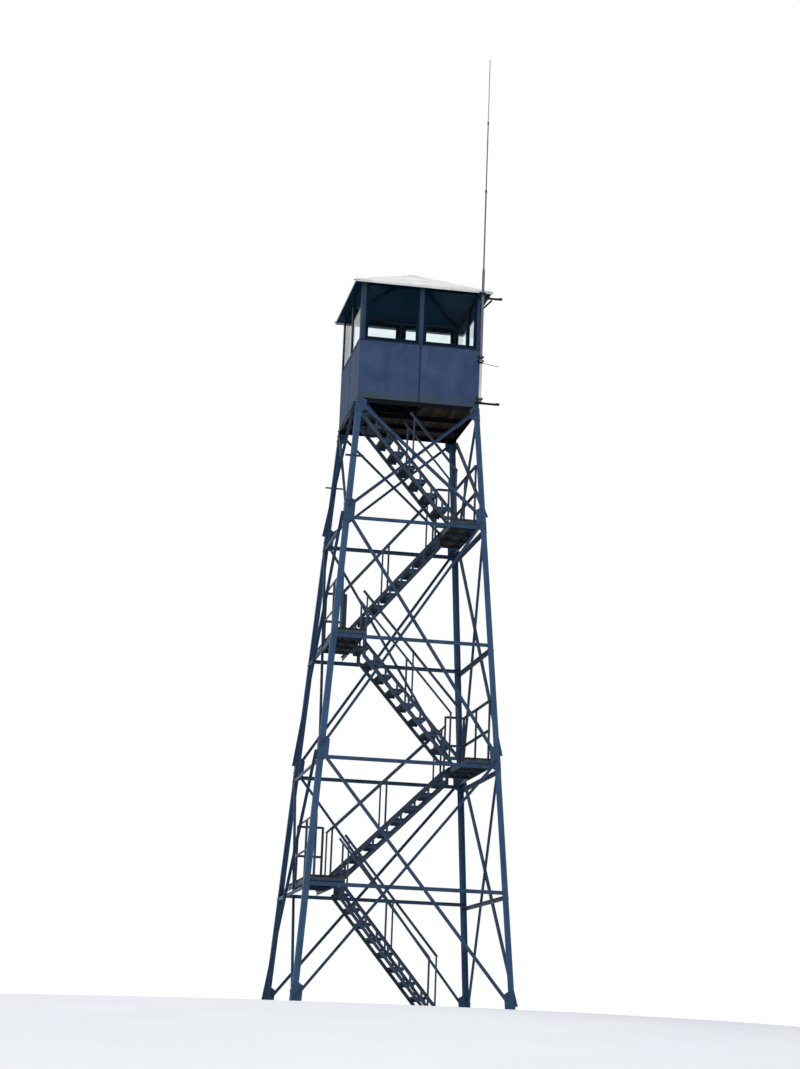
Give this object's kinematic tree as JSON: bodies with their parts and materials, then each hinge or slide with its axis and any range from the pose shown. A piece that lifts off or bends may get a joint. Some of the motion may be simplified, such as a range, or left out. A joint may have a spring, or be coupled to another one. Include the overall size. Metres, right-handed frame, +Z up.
{
  "type": "fire lookout tower",
  "caption": "Steel lattice lookout tower with four leaning angle legs, inside switchback stair with timber landings, and a square hip-roofed cab with windows all round.",
  "frame": {"origin": "on the ground, at the centre of the four feet", "axes": "+Z up; -Y is the face nearest the camera, +X to its right"},
  "size_m": [3.728, 3.728, 16.72],
  "materials": {
    "galvanised_steel": "weathered hot-dip galvanised, matt",
    "foot_steel": "weathered hot-dip galvanised, dusty",
    "rail_steel": "weathered galvanised angle",
    "cab_frame": "weathered light paint",
    "wall_sheet": "pale sheet, satin",
    "roof_metal": "near white sheet, satin",
    "floor_boards": "brown tongued boards",
    "deck_timber": "weathered planks",
    "rafter_timber": "bare timber",
    "window_frames": "dark frames",
    "window_glass": "clear panes",
    "mast_metal": "dull metal tube"
  },
  "bodies": {
    "root": {"antenna_mast": "mast_metal", "cab_floor_boards": "floor_boards", "cab_floor_frame": "galvanised_steel", "cab_posts": "cab_frame", "cab_rails": "cab_frame", "cab_wall_panels": "wall_sheet", "far_braces": "galvanised_steel", "far_girts": "galvanised_steel", "far_left_leg": "galvanised_steel", "far_right_leg": "galvanised_steel", "flight_1_handrails": "rail_steel", "flight_1_stringers": "galvanised_steel", "flight_1_treads": "deck_timber", "flight_2_handrails": "rail_steel", "flight_2_stringers": "galvanised_steel", "flight_2_treads": "deck_timber", "flight_3_handrails": "rail_steel", "flight_3_stringers": "galvanised_steel", "flight_3_treads": "deck_timber", "flight_4_handrails": "rail_steel", "flight_4_stringers": "galvanised_steel", "flight_4_treads": "deck_timber", "flight_5_handrails": "rail_steel", "flight_5_stringers": "galvanised_steel", "flight_5_treads": "deck_timber", "foot_plates": "foot_steel", "gusset_plates": "galvanised_steel", "hip_rafters": "rafter_timber", "landing_frames": "galvanised_steel", "landing_guards": "rail_steel", "landing_planks": "deck_timber", "left_braces": "galvanised_steel", "left_girts": "galvanised_steel", "leg_brackets": "galvanised_steel", "mast_brackets": "mast_metal", "near_braces": "galvanised_steel", "near_girts": "galvanised_steel", "near_left_leg": "galvanised_steel", "near_right_leg": "galvanised_steel", "right_braces": "galvanised_steel", "right_girts": "galvanised_steel", "roof_caps": "roof_metal", "roof_panels": "roof_metal", "window_glass": "window_glass", "window_sashes": "window_frames"}
  },
  "joints": []
}
